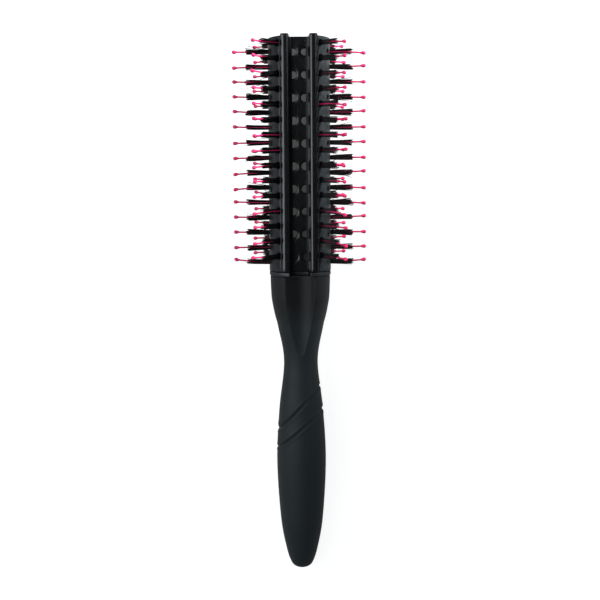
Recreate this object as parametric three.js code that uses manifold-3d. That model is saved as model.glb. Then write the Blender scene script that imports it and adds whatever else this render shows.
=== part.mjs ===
// Vented round styling brush, lying on a table: long axis near +Y with the barrel towards +Y,
// front channel up. Millimetres. The brush is built along its own axis first (+Y from the butt,
// +Z out of the front channel) and tilted as a whole at the end, because it lies on its lowest
// pins and on the belly of its grip.
import * as THREE from 'three';
import { mergeVertices } from 'three/addons/utils/BufferGeometryUtils.js';
import Module from 'manifold-3d';

const wasm = await Module();
wasm.setup();

// Stations along the brush's axis, from the butt of the grip.
const BRUSH_LENGTH = 254;
const GRIP_END = 142.1;
const COLLAR_START = 142.4;
const COLLAR_END = 144.3;
const BARREL_START = 144.6;
const PLUG_FACE = 253.2;
const GAP = 0.3;

// Barrel section.
const BARREL_RADIUS = 14.5;
const FLANK_WALL = 1.6;
const CHANNEL_FLOOR = 5.5;
const CHANNEL_FLOOR_HALF = 3.7;
const CHANNEL_MOUTH_HALF = 5.0;
const RAIL_HEIGHT = 14.2;
const RAIL_HALF_SPAN = 8.6;
const RAIL_SKIRT = 11.0;
const RAIL_FILLET = 1.3;
const VENT_OVERCUT = 1;
const MOUTH_FILLET = 1.2;
const RAIL_CLEARANCE = 0.25;
const FLANK_SETBACK = 0.5;
const TROUGH_WALL = 1.2;

// Vents: ten stations, in two columns in each trough and two columns in each flank.
const VENT_COUNT = 10;
const VENT_FIRST = 151.0;
const VENT_PITCH = 10.6;
const VENT_INNER = 0.9;
const VENT_OUTER = 3.3;
const VENT_RADIUS = 1.95;
const FLANK_VENT_ANGLES = [67, 113];
const FLANK_VENT_RADIUS = 1.2;

// Tufts: three rows on each flank, at angles from the front channel. The row in the middle is half
// a pitch nearer to the grip.
const TUFT_COUNT = 15;
const TUFT_PITCH = 7.0;
const SIDE_ROW_ANGLE = 90;
const EDGE_ROW_ANGLE = 44;
const SIDE_ROW_FIRST = 148.5;
const EDGE_ROW_FIRST = 152.0;
const SOCKET_RADIUS = 1.45;
const HOLE_START = 12;
const HOLE_END = 15;
const BUNDLE_ROOT_RADIUS = 1.0;
const BUNDLE_END_RADIUS = 1.45;
const BUNDLE_REACH = 24.8;
const CARRIER_FLOOR = 11.4;
const CARRIER_CROWN = 12.6;
const CARRIER_WIDTH = 2.6;
const BORE_RADIUS = 0.65;
const BORE_START = 11;
const BORE_END = 25;
const PIN_RADIUS = 0.35;
const PIN_BALL_RADIUS = 0.9;
const PIN_BALL_START = 29.0;
const PIN_BALL_MIDDLE = 30.2;
const PIN_REACH = 31.3;
const BACKBONE_FLOOR = 9.9;
const BACKBONE_CROWN = 11.1;
const BACKBONE_WIDTH = 1.6;
const STRIP_OVERHANG = 1.4;

// Grip outline: radius and station, from the butt to the collar.
const GRIP_OUTLINE = [
  [3.2, 0.9], [5.3, 3.2], [7.5, 10], [10.1, 25], [11.7, 53], [10.45, 78], [8.05, 101],
  [10.7, 117.5], [11.95, 122.5], [13.0, 127.5], [13.75, 132.5], [14.15, GRIP_END],
];
const GRIP_STEPS = 26;
const GRIP_SIDES = 28;
const BELLY_RADIUS = 11.7;
const BELLY_STATION = 54;
const SCOOP_RADIUS = 7.5;
const SCOOP_FLOOR = 8.0;
const SCOOP_START = 101;
const GROOVES = [{ station: 80.0, slope: 46 }, { station: 69.5, slope: 40 }];
const GROOVE_WIDTH = 1.2;
const GROOVE_DEPTH = 0.5;
const GROOVE_SLAB = [60, 40];

// Core inside the grip, its tang into the barrel, and the web between the troughs.
const CORE_OUTLINE = [[5, 9], [7.6, 25], [9.2, 53], [7.9, 78], [5.4, 98]];
const TANG_ROOT_HALF = 3.5;
const TANG_END = 158;
const TANG_WIDTH = 13;
const TANG_DEPTH = 7.4;
const WEB_WIDTH = 1.0;
const WEB_DEPTH = 8.0;
const WEB_START = 146;
const WEB_END = 252.4;
const PLUG_THICKNESS = 1.5;

const BLACK_SOFT = { color: 0x202426, roughness: 0.75, metalness: 0 };
const BLACK_GLOSS = { color: 0x0b0c0e, roughness: 0.25, metalness: 0 };
const GREY_SATIN = { color: 0x3c3e40, roughness: 0.5, metalness: 0 };
const BLACK_FIBRE = { color: 0x101112, roughness: 0.6, metalness: 0 };
const PINK_NYLON = { color: 0xe8346f, roughness: 0.35, metalness: 0 };

const radians = THREE.MathUtils.degToRad;

/** Turn a closed three.js geometry into a solid that can be joined and cut. */
function solid(geometry) {
  const bare = geometry.clone();
  bare.deleteAttribute('normal');
  bare.deleteAttribute('uv');
  const merged = mergeVertices(bare, 1e-4);
  return new wasm.Manifold(new wasm.Mesh({
    numProp: 3,
    vertProperties: new Float32Array(merged.attributes.position.array),
    triVerts: new Uint32Array(merged.index.array),
  }));
}

/** Make a named mesh from a solid. */
function mesh(name, body, finish) {
  const raw = body.getMesh();
  const geometry = new THREE.BufferGeometry();
  geometry.setAttribute('position', new THREE.BufferAttribute(raw.vertProperties, 3));
  geometry.setIndex(new THREE.BufferAttribute(raw.triVerts, 1));
  geometry.computeVertexNormals();
  const result = new THREE.Mesh(geometry, new THREE.MeshStandardMaterial(finish));
  result.name = name;
  return result;
}

/** Join or subtract a list of solids, one after another. */
function joinAll(solids) {
  return solids.reduce((whole, next) => whole.add(next));
}

function cutAll(body, cutters) {
  return cutters.reduce((rest, cutter) => rest.subtract(cutter), body);
}

/** Solid of a shape drawn in x and z, standing between two stations of the axis. */
function extrudeAlong(shape, start, end, curveSegments = 12) {
  const depth = end - start;
  const geometry = new THREE.ExtrudeGeometry(shape, { depth, bevelEnabled: false, curveSegments });
  geometry.rotateX(Math.PI / 2);
  geometry.translate(0, end, 0);
  return solid(geometry);
}

/** Solid box between two corners. */
function block(low, high) {
  const size = high.map((value, axis) => value - low[axis]);
  const geometry = new THREE.BoxGeometry(...size);
  geometry.translate(...low.map((value, axis) => value + size[axis] / 2));
  return solid(geometry);
}

/** Solid of revolution about the brush's axis, from [radius, station] points. */
function turned(points, segments) {
  return solid(new THREE.LatheGeometry(points.map(([r, s]) => new THREE.Vector2(r, s)), segments));
}

/** Smooth outline through a few [radius, station] points. */
function smoothOutline(points, steps) {
  const curve = new THREE.SplineCurve(points.map(([r, s]) => new THREE.Vector2(r, s)));
  return curve.getPoints(steps).map((point) => [point.x, point.y]);
}

/** Move a solid's geometry, drawn along +Y, so that it points out of the axis at an angle. */
function pointOutwards(geometry, angle, station) {
  geometry.rotateX(Math.PI / 2);
  geometry.rotateY(radians(angle));
  geometry.translate(0, station, 0);
  return geometry;
}

/** Peg drawn by [radius, distance from the axis] points, standing out of the axis at an angle. */
function peg(points, sides, angle, station) {
  const outline = points.map(([r, reach]) => new THREE.Vector2(r, reach));
  return solid(pointOutwards(new THREE.LatheGeometry(outline, sides), angle, station));
}

/** Outline of a straight peg between two distances from the axis. */
function straightPeg(radius, start, end) {
  return [[0, start], [radius, start], [radius, end], [0, end]];
}

/** Straight bar along the barrel, at an angle and between two distances from the axis. */
function bar(angle, floor, crown, width, start, end) {
  const geometry = new THREE.BoxGeometry(width, end - start, crown - floor);
  geometry.translate(0, 0, (floor + crown) / 2);
  geometry.rotateY(radians(angle));
  geometry.translate(0, (start + end) / 2, 0);
  return solid(geometry);
}

function stations(first, pitch, count) {
  return Array.from({ length: count }, (_, index) => first + index * pitch);
}

function gripSleeve() {
  const outline = [[0, 0], [1.8, 0.2], ...smoothOutline(GRIP_OUTLINE, GRIP_STEPS), [0, GRIP_END]];
  const shrunk = outline.map(([r, s]) => [Math.max(0, r - GROOVE_DEPTH), s]);
  const inner = turned(shrunk, GRIP_SIDES);
  const grooves = GROOVES.map(({ station, slope }) => {
    const slab = new THREE.BoxGeometry(GROOVE_SLAB[0], GROOVE_WIDTH, GROOVE_SLAB[1]);
    slab.rotateZ(radians(slope));
    slab.translate(0, station, 0);
    return solid(slab).subtract(inner);
  });
  const cavity = coreSolid(GAP);
  return cutAll(turned(outline, GRIP_SIDES), [cavity, ...scoops(), ...grooves]);
}

/** The two round-bottomed cutters that carry the channels on into the grip. */
function scoops() {
  return [1, -1].map((side) => {
    const length = GRIP_END + 10 - SCOOP_START;
    const cutter = new THREE.CylinderGeometry(SCOOP_RADIUS, SCOOP_RADIUS, length, 28);
    cutter.translate(0, SCOOP_START + length / 2, side * (SCOOP_FLOOR + SCOOP_RADIUS));
    return solid(cutter);
  });
}

/** Round core of the grip, grown by a clearance when it is used as a cutter. */
function coreSolid(clearance) {
  const [tipRadius, tipStation] = CORE_OUTLINE[0];
  const [neckRadius] = CORE_OUTLINE[CORE_OUTLINE.length - 1];
  const curve = smoothOutline(CORE_OUTLINE, 6).map(([r, s]) => [r + clearance, s]);
  const outline = [
    [0, tipStation - 3 - clearance],
    [tipRadius - 2 + clearance, tipStation - 2 - clearance],
    ...curve,
    [neckRadius + clearance, GRIP_END + clearance],
    [0, GRIP_END + clearance],
  ];
  return turned(outline, 16);
}

/** Core with a flat tang that passes through the collar and takes the web in its slot. */
function handleCore() {
  const width = TANG_WIDTH / 2;
  const depth = TANG_DEPTH / 2;
  const half = TANG_ROOT_HALF;
  const root = block([-half, GRIP_END - 3, -half], [half, COLLAR_START + 1, half]);
  const tang = block([-width, COLLAR_START, -depth], [width, TANG_END, depth]);
  const slotHalf = WEB_WIDTH / 2 + GAP;
  const slot = block([-slotHalf, WEB_START - GAP, -depth - 1], [slotHalf, TANG_END + 1, depth + 1]);
  return joinAll([coreSolid(0), root, tang]).subtract(slot);
}

/** Round section with an open channel at the front and at the back. */
function collarShape() {
  const half = CHANNEL_MOUTH_HALF;
  const reach = Math.sqrt(BARREL_RADIUS ** 2 - half ** 2);
  const lift = Math.atan2(reach, half);
  const shape = new THREE.Shape();
  shape.moveTo(half, CHANNEL_FLOOR);
  shape.lineTo(-half, CHANNEL_FLOOR);
  shape.absarc(0, 0, BARREL_RADIUS, Math.PI - lift, Math.PI + lift, false);
  shape.lineTo(-half, -CHANNEL_FLOOR);
  shape.lineTo(half, -CHANNEL_FLOOR);
  shape.absarc(0, 0, BARREL_RADIUS, -lift, lift, false);
  shape.closePath();
  return shape;
}

function collarRing() {
  const ring = extrudeAlong(collarShape(), COLLAR_START, COLLAR_END, 16);
  const width = TANG_WIDTH / 2 + GAP;
  const depth = TANG_DEPTH / 2 + GAP;
  return ring.subtract(block([-width, COLLAR_START - 1, -depth], [width, COLLAR_END + 1, depth]));
}

/** Section of a trough: floor, two walls, two rails, hollow behind. */
function troughShape() {
  const wall = TROUGH_WALL;
  const bend = 1 - Math.SQRT1_2;
  const half = [
    [CHANNEL_FLOOR_HALF, CHANNEL_FLOOR], [CHANNEL_MOUTH_HALF, RAIL_HEIGHT - MOUTH_FILLET],
    [CHANNEL_MOUTH_HALF + bend * MOUTH_FILLET, RAIL_HEIGHT - bend * MOUTH_FILLET],
    [CHANNEL_MOUTH_HALF + MOUTH_FILLET, RAIL_HEIGHT], [RAIL_HALF_SPAN - RAIL_FILLET, RAIL_HEIGHT],
    [RAIL_HALF_SPAN - bend * RAIL_FILLET, RAIL_HEIGHT - bend * RAIL_FILLET],
    [RAIL_HALF_SPAN, RAIL_HEIGHT - RAIL_FILLET], [RAIL_HALF_SPAN, RAIL_SKIRT],
    [RAIL_HALF_SPAN - wall, RAIL_SKIRT], [RAIL_HALF_SPAN - wall, RAIL_HEIGHT - wall],
    [CHANNEL_MOUTH_HALF + wall, RAIL_HEIGHT - wall], [CHANNEL_FLOOR_HALF + wall, CHANNEL_FLOOR - wall],
  ];
  const mirrored = half.map(([x, z]) => [-x, z]).reverse();
  return new THREE.Shape([...half, ...mirrored].map(([x, z]) => new THREE.Vector2(x, z)));
}

/** Cutter for one vent: a round hole whose outer side is cut straight beside the trough's wall. */
function channelVent(side, station) {
  const centre = VENT_INNER + VENT_RADIUS;
  const lift = Math.acos((VENT_OUTER - centre) / VENT_RADIUS);
  const shape = new THREE.Shape();
  shape.absarc(centre, 0, VENT_RADIUS, lift, 2 * Math.PI - lift, false);
  shape.closePath();
  const depth = TROUGH_WALL + 2 * VENT_OVERCUT;
  const geometry = new THREE.ExtrudeGeometry(shape, { depth, bevelEnabled: false, curveSegments: 3 });
  geometry.translate(0, station, CHANNEL_FLOOR - TROUGH_WALL - VENT_OVERCUT);
  return side > 0 ? solid(geometry) : solid(geometry).mirror([1, 0, 0]);
}

function channelTrough(side) {
  const trough = extrudeAlong(troughShape(), BARREL_START, BRUSH_LENGTH);
  const places = stations(VENT_FIRST, VENT_PITCH, VENT_COUNT);
  const vents = places.flatMap((station) => [channelVent(1, station), channelVent(-1, station)]);
  const body = trough.subtract(joinAll(vents));
  return side > 0 ? body : body.rotate([0, 180, 0]);
}

/** Section of a flank: an arc of wall from rail to rail. */
function flankShape() {
  const edge = RAIL_HALF_SPAN + RAIL_CLEARANCE;
  const inner = BARREL_RADIUS - FLANK_WALL;
  const outerLift = Math.acos(edge / BARREL_RADIUS);
  const innerLift = Math.acos(edge / inner);
  const shape = new THREE.Shape();
  shape.absarc(0, 0, BARREL_RADIUS, -outerLift, outerLift, false);
  shape.absarc(0, 0, inner, innerLift, -innerLift, true);
  shape.closePath();
  return shape;
}

function flankShell(side) {
  const shell = extrudeAlong(flankShape(), BARREL_START, BRUSH_LENGTH - FLANK_SETBACK, 10);
  const holes = [];
  for (const { angle, first } of tuftRows(1)) {
    for (const station of stations(first, TUFT_PITCH, TUFT_COUNT)) {
      holes.push(peg(straightPeg(SOCKET_RADIUS, HOLE_START, HOLE_END), 6, angle, station));
    }
  }
  for (const angle of FLANK_VENT_ANGLES) {
    for (const station of stations(VENT_FIRST, VENT_PITCH, VENT_COUNT)) {
      holes.push(peg(straightPeg(FLANK_VENT_RADIUS, HOLE_START, HOLE_END), 4, angle, station));
    }
  }
  const body = shell.subtract(joinAll(holes));
  return side > 0 ? body : body.rotate([0, 180, 0]);
}

/** The three rows of one side, with their angles from the front channel. */
function tuftRows(side) {
  return [
    { label: 'front', angle: side * EDGE_ROW_ANGLE, first: EDGE_ROW_FIRST },
    { label: 'middle', angle: side * SIDE_ROW_ANGLE, first: SIDE_ROW_FIRST },
    { label: 'rear', angle: side * (180 - EDGE_ROW_ANGLE), first: EDGE_ROW_FIRST },
  ];
}

function bristleStrip({ angle, first }) {
  const places = stations(first, TUFT_PITCH, TUFT_COUNT);
  const start = first - STRIP_OVERHANG;
  const end = places[TUFT_COUNT - 1] + STRIP_OVERHANG;
  const carrier = bar(angle, CARRIER_FLOOR, CARRIER_CROWN, CARRIER_WIDTH, start, end);
  const middle = (CARRIER_FLOOR + CARRIER_CROWN) / 2;
  const bundle = [
    [0, middle], [BUNDLE_ROOT_RADIUS, middle],
    [BUNDLE_END_RADIUS, BUNDLE_REACH], [0, BUNDLE_REACH],
  ];
  const bore = straightPeg(BORE_RADIUS, BORE_START, BORE_END);
  const bundles = joinAll(places.map((station) => peg(bundle, 6, angle, station)));
  const bores = joinAll(places.map((station) => peg(bore, 4, angle, station)));
  return carrier.add(bundles).subtract(bores);
}

function pinStrip({ angle, first }) {
  const places = stations(first, TUFT_PITCH, TUFT_COUNT);
  const start = first - STRIP_OVERHANG;
  const end = places[TUFT_COUNT - 1] + STRIP_OVERHANG;
  const backbone = bar(angle, BACKBONE_FLOOR, BACKBONE_CROWN, BACKBONE_WIDTH, start, end);
  const middle = (BACKBONE_FLOOR + BACKBONE_CROWN) / 2;
  const pin = [
    [0, middle], [PIN_RADIUS, middle], [PIN_RADIUS, PIN_BALL_START],
    [PIN_BALL_RADIUS, PIN_BALL_MIDDLE], [0, PIN_REACH],
  ];
  return joinAll([backbone, ...places.map((station) => peg(pin, 4, angle, station))]);
}

function spineWeb() {
  return block([-WEB_WIDTH / 2, WEB_START, -WEB_DEPTH / 2], [WEB_WIDTH / 2, WEB_END, WEB_DEPTH / 2]);
}

/** Plug that closes the barrel's end, cut to clear the troughs, the flanks and the web. */
function endPlug() {
  const start = PLUG_FACE - PLUG_THICKNESS;
  const radius = BARREL_RADIUS - FLANK_WALL - GAP;
  const disc = turned([[0, start], [radius, start], [radius, PLUG_FACE], [0, PLUG_FACE]], 40);
  const back = CHANNEL_FLOOR - TROUGH_WALL - GAP;
  const reach = CHANNEL_MOUTH_HALF + TROUGH_WALL + GAP;
  const clears = [1, -1].map((side) => {
    const low = side > 0 ? back : -BARREL_RADIUS;
    const high = side > 0 ? BARREL_RADIUS : -back;
    return block([-reach, start - 1, low], [reach, PLUG_FACE + 1, high]);
  });
  const slotHalf = WEB_WIDTH / 2 + GAP;
  const slotDepth = WEB_DEPTH / 2 + GAP;
  const slot = block([-slotHalf, start - 1, -slotDepth], [slotHalf, WEB_END + GAP, slotDepth]);
  return cutAll(disc, [...clears, slot]);
}

/** All of the brush's parts along its own axis. */
function buildBrush() {
  const brush = new THREE.Group();
  brush.add(mesh('grip_sleeve', gripSleeve(), BLACK_SOFT));
  brush.add(mesh('handle_core', handleCore(), BLACK_GLOSS));
  brush.add(mesh('collar_ring', collarRing(), GREY_SATIN));
  brush.add(mesh('front_channel', channelTrough(1), BLACK_GLOSS));
  brush.add(mesh('rear_channel', channelTrough(-1), BLACK_GLOSS));
  brush.add(mesh('spine_web', spineWeb(), BLACK_GLOSS));
  brush.add(mesh('end_plug', endPlug(), BLACK_GLOSS));
  for (const [name, side] of [['right', 1], ['left', -1]]) {
    brush.add(mesh(`${name}_flank`, flankShell(side), GREY_SATIN));
    for (const row of tuftRows(side)) {
      brush.add(mesh(`bristle_strip_${name}_${row.label}`, bristleStrip(row), BLACK_FIBRE));
      brush.add(mesh(`pin_strip_${name}_${row.label}`, pinStrip(row), PINK_NYLON));
    }
  }
  return brush;
}

/** Lay the brush on its lowest pins and its belly, and centre its box over the origin. */
function layDown(brush) {
  const pinDrop = PIN_REACH * Math.cos(radians(EDGE_ROW_ANGLE));
  brush.rotation.x = Math.atan2(pinDrop - BELLY_RADIUS, EDGE_ROW_FIRST - BELLY_STATION);
  const group = new THREE.Group();
  group.add(brush);
  group.updateMatrixWorld(true);
  const box = new THREE.Box3().setFromObject(group, true);
  brush.position.set(-(box.min.x + box.max.x) / 2, -(box.min.y + box.max.y) / 2, -box.min.z);
  return group;
}

const group = layDown(buildBrush());

export default group;
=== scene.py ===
"""Vented round styling brush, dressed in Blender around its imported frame.

Every surface is worked out in the brush's own millimetres, (x, station, z): x to the right, the
station along the axis from the butt of the grip, and z out of the front channel. BrushAxis then
puts it where the frame's collar and end plug say that the axis lies.
"""

import logging
import math
from dataclasses import dataclass
from enum import Enum
from typing import Sequence

import bmesh
import bpy
import numpy as np
from mathutils import Matrix, Vector
from mathutils.geometry import delaunay_2d_cdt


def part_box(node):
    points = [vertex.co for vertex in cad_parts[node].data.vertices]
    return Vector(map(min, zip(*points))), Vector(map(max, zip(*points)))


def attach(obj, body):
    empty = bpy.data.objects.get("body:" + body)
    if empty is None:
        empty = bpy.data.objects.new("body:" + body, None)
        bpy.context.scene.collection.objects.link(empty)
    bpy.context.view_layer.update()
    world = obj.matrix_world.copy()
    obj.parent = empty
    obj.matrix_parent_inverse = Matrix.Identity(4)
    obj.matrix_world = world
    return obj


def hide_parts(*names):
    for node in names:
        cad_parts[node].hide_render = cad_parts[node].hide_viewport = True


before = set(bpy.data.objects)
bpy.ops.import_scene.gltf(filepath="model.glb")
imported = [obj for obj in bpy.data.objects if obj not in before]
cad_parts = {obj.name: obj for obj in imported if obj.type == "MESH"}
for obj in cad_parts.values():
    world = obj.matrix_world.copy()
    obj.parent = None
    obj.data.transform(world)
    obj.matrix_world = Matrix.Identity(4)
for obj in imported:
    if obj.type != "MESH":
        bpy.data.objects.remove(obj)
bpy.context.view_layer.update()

LOG = logging.getLogger("styling_brush")
MM = 0.001
BODY = "root"

# Stations along the axis, in millimetres from the butt of the grip.
COLLAR_MIDDLE = 143.35
PLUG_MIDDLE = 252.45
GRIP_END = 142.1
BARREL_START = 144.6
FREE_END_START = 246.0
FLANK_END = 253.5
BARREL_END = 254.0

# Barrel section, in millimetres from the axis.
BARREL_RADIUS = 14.5
FLANK_WALL = 1.6
CHANNEL_FLOOR = 5.5
CHANNEL_FOOT = 3.7
CHANNEL_MOUTH = 5.0
RAIL_TOP = 14.2
RAIL_SPAN = 8.6

# Rows along the barrel.
VENT_FIRST = 151.0
VENT_PITCH = 10.6
VENT_COUNT = 10
TUFT_PITCH = 7.0
TUFT_COUNT = 15


class Side(Enum):
    """Left or right of the front channel, as the sign of x."""

    RIGHT = 1
    LEFT = -1


class Row(Enum):
    """The three tuft rows of one side: angle from the front channel, and first station."""

    FRONT = (44.0, 152.0)
    MIDDLE = (90.0, 148.5)
    REAR = (136.0, 152.0)

    @property
    def angle(self) -> float:
        """Angle from the front channel, in degrees."""
        return self.value[0]

    @property
    def stations(self) -> np.ndarray:
        """Stations of the row's tufts."""
        return self.value[1] + TUFT_PITCH * np.arange(TUFT_COUNT)


# ---------------------------------------------------------------- surfaces


@dataclass
class Patch:
    """A piece of surface.

    points is (n, 3) in brush millimetres. faces is (m, 4) point numbers, and a triangle repeats
    its last one. tone is one value per point, from 0 to 1, that a finish may read.
    """

    points: np.ndarray
    faces: np.ndarray
    tone: np.ndarray

    @staticmethod
    def grid(points: np.ndarray, wrap: bool = False, tone: np.ndarray | None = None) -> "Patch":
        """Surface through a grid of points.

        Args:
            points: (..., rows, columns, 3); leading axes are separate copies of the grid.
            wrap: join the last column to the first.
            tone: (..., rows, columns) values, 0 if left out.

        Returns:
            One patch with all of the copies.
        """
        rows, columns = points.shape[-3:-1]
        copies = int(np.prod(points.shape[:-3], dtype=int))
        across = np.arange(columns if wrap else columns - 1)
        down = np.arange(rows - 1)[:, None] * columns
        after = (across + 1) % columns
        cell = np.stack([down + across, down + after, down + columns + after, down + columns + across], -1)
        offset = np.arange(copies)[:, None, None] * rows * columns
        faces = (cell.reshape(1, -1, 4) + offset).reshape(-1, 4)
        flat = points.reshape(-1, 3)
        values = np.zeros(len(flat)) if tone is None else np.broadcast_to(tone, points.shape[:-1]).ravel()
        return Patch(flat, faces, values)

    @staticmethod
    def joined(patches: Sequence["Patch"]) -> "Patch":
        """Several patches as one, still unwelded."""
        starts = np.cumsum([0] + [len(patch.points) for patch in patches[:-1]])
        return Patch(
            np.concatenate([patch.points for patch in patches]),
            np.concatenate([patch.faces + start for patch, start in zip(patches, starts)]),
            np.concatenate([patch.tone for patch in patches]),
        )

    def mirrored(self) -> "Patch":
        """The same surface on the other side of the front channel, facing out as before."""
        return Patch(self.points * (-1, 1, 1), self.faces[:, ::-1], self.tone)

    def turned_over(self) -> "Patch":
        """The same surface turned half way round the axis, from the front to the back."""
        return Patch(self.points * (-1, 1, -1), self.faces, self.tone)

    def welded(self, tolerance: float = 2e-4) -> "Patch":
        """Merge points that lie together, so that neighbouring patches share their edge."""
        keys = np.round(self.points / tolerance).astype(np.int64)
        _, first, number = np.unique(keys, axis=0, return_index=True, return_inverse=True)
        return Patch(self.points[first], number.reshape(-1)[self.faces], self.tone[first])

    def polygons(self) -> tuple[np.ndarray, np.ndarray]:
        """Corners in order, and where each face starts, with repeated corners left out."""
        keep = self.faces != np.roll(self.faces, -1, axis=1)
        whole = keep.sum(1) > 2
        keep, faces = keep[whole], self.faces[whole]
        starts = np.concatenate([[0], np.cumsum(keep.sum(1))[:-1]])
        return faces[keep], starts


@dataclass(frozen=True)
class BrushAxis:
    """Where the brush's own frame lies in the row's frame, in metres."""

    origin: np.ndarray
    along: np.ndarray
    front: np.ndarray

    @staticmethod
    def from_frame() -> "BrushAxis":
        """Axis through the middles of the collar and the end plug, which are both true to it."""
        collar = np.mean([np.array(corner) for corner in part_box("collar_ring")], axis=0)
        plug = np.mean([np.array(corner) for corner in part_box("end_plug")], axis=0)
        along = (plug - collar) / np.linalg.norm(plug - collar)
        front = np.cross((1.0, 0.0, 0.0), along)
        return BrushAxis(collar - along * COLLAR_MIDDLE * MM, along, front)

    def place(self, points: np.ndarray) -> np.ndarray:
        """Brush millimetres to metres in the row's frame."""
        basis = np.stack([(1.0, 0.0, 0.0), self.along, self.front])
        return self.origin + MM * points @ basis

    def point(self, x: float, station: float, z: float) -> Vector:
        """One point in the row's frame."""
        return Vector(self.place(np.array([x, station, z])))


def build_object(name: str, patch: Patch, axis: BrushAxis, material: bpy.types.Material,
                 sharp: float = 35.0) -> bpy.types.Object:
    """Mesh object from a patch, welded, facing out and smooth up to an angle.

    Args:
        name: object name.
        patch: surface in brush millimetres.
        axis: where the brush lies.
        material: its finish.
        sharp: faces that meet at more than this many degrees keep a hard edge.

    Returns:
        The object, at the origin.
    """
    patch = patch.welded()
    corners, starts = patch.polygons()
    mesh = bpy.data.meshes.new(name)
    mesh.vertices.add(len(patch.points))
    mesh.vertices.foreach_set("co", axis.place(patch.points).astype(np.float32).ravel())
    mesh.loops.add(len(corners))
    mesh.loops.foreach_set("vertex_index", corners.astype(np.int32))
    mesh.polygons.add(len(starts))
    mesh.polygons.foreach_set("loop_start", starts.astype(np.int32))
    tone = mesh.attributes.new("tone", "FLOAT", "POINT")
    tone.data.foreach_set("value", patch.tone.astype(np.float32))
    mesh.update(calc_edges=True)
    mesh.validate()
    work = bmesh.new()
    work.from_mesh(mesh)
    loose = [vertex for vertex in work.verts if not vertex.link_faces]
    bmesh.ops.delete(work, geom=loose, context="VERTS")
    bmesh.ops.recalc_face_normals(work, faces=work.faces)
    work.to_mesh(mesh)
    work.free()
    mesh.polygons.foreach_set("use_smooth", np.ones(len(mesh.polygons), dtype=bool))
    mesh.set_sharp_from_angle(angle=math.radians(sharp))
    mesh.materials.append(material)
    made = bpy.data.objects.new(name, mesh)
    bpy.context.collection.objects.link(made)
    LOG.info("%s: %d faces", name, len(mesh.polygons))
    return made


def smooth_through(points: Sequence[tuple[float, float]], per_span: int) -> np.ndarray:
    """Catmull-Rom curve through points, with the ends' tangents taken from their mirror points.

    Args:
        points: (radius, station) pairs.
        per_span: steps between neighbouring points.

    Returns:
        (n, 2) points of the curve.
    """
    knots = np.array(points, float)
    padded = np.vstack([2 * knots[0] - knots[1], knots, 2 * knots[-1] - knots[-2]])
    t = np.linspace(0, 1, per_span, endpoint=False)[None, :, None]
    a, b, c, d = (padded[k:len(knots) - 1 + k, None, :] for k in range(4))
    spans = 0.5 * (2 * b + (c - a) * t + (2 * a - 5 * b + 4 * c - d) * t**2 + (3 * b - a - 3 * c + d) * t**3)
    return np.vstack([spans.reshape(-1, 2), knots[-1]])


def rounded_path(corners: Sequence[tuple[float, float, float]], steps: int = 6) -> np.ndarray:
    """Open path of straight lines whose corners are turned into arcs.

    Args:
        corners: (x, z, fillet radius); the first and last are ends and keep no fillet.
        steps: segments in each arc.

    Returns:
        (n, 2) points of the path.
    """
    spots = np.array(corners, float)
    path = [spots[0, :2]]
    for before, here, after in zip(spots[:-2], spots[1:-1], spots[2:]):
        corner, radius = here[:2], here[2]
        arrive = (before[:2] - corner) / np.linalg.norm(before[:2] - corner)
        leave = (after[:2] - corner) / np.linalg.norm(after[:2] - corner)
        half = math.acos(float(np.clip(arrive @ leave, -1, 1))) / 2
        bisector = (arrive + leave) / np.linalg.norm(arrive + leave)
        centre = corner + bisector * radius / math.sin(half)
        start = corner + arrive * radius / math.tan(half) - centre
        finish = corner + leave * radius / math.tan(half) - centre
        sweep = math.atan2(start[0] * finish[1] - start[1] * finish[0], start @ finish)
        turn = np.linspace(0, sweep, steps + 1)
        path.extend(centre + np.stack([
            start[0] * np.cos(turn) - start[1] * np.sin(turn),
            start[0] * np.sin(turn) + start[1] * np.cos(turn),
        ], -1))
    path.append(spots[-1, :2])
    return np.array(path)


def resampled(path: np.ndarray, count: int) -> np.ndarray:
    """Path with count points at even distances along it."""
    reach = np.concatenate([[0], np.cumsum(np.linalg.norm(np.diff(path, axis=0), axis=1))])
    wanted = np.linspace(0, reach[-1], count)
    return np.stack([np.interp(wanted, reach, path[:, 0]), np.interp(wanted, reach, path[:, 1])], -1)


def at_station(section: np.ndarray, station: np.ndarray | float) -> np.ndarray:
    """Section points (x, z) put at a station, or each row of them at its own."""
    place = np.broadcast_to(station, section.shape[:-1])
    return np.stack([section[..., 0], place, section[..., 1]], -1)


def at_height(flat: np.ndarray, height: np.ndarray | float) -> np.ndarray:
    """Plan points (x, station) put at a height."""
    return np.concatenate([flat, np.broadcast_to(height, flat.shape[:-1])[..., None]], -1)


def unit_circle(count: int) -> np.ndarray:
    """(count, 2) points of a circle of radius 1: cos a and sin a."""
    turn = np.linspace(0, 2 * math.pi, count, endpoint=False)
    return np.stack([np.cos(turn), np.sin(turn)], -1)


def smooth_step(value: np.ndarray) -> np.ndarray:
    """Smooth ramp from 0 to 1, level at both ends: s = 3v^2 - 2v^3."""
    value = np.clip(value, 0, 1)
    return value * value * (3 - 2 * value)


def vent_stations() -> np.ndarray:
    """Stations of the vents, the same in the troughs and in the shells."""
    return VENT_FIRST + VENT_PITCH * np.arange(VENT_COUNT)


def free_end_share(station: np.ndarray) -> np.ndarray:
    """Share of the free end's draw-back: v^2, with v from 0 to 1 over its last millimetres."""
    return np.clip((station - FREE_END_START) / (BARREL_END - FREE_END_START), 0, 1) ** 2


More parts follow.
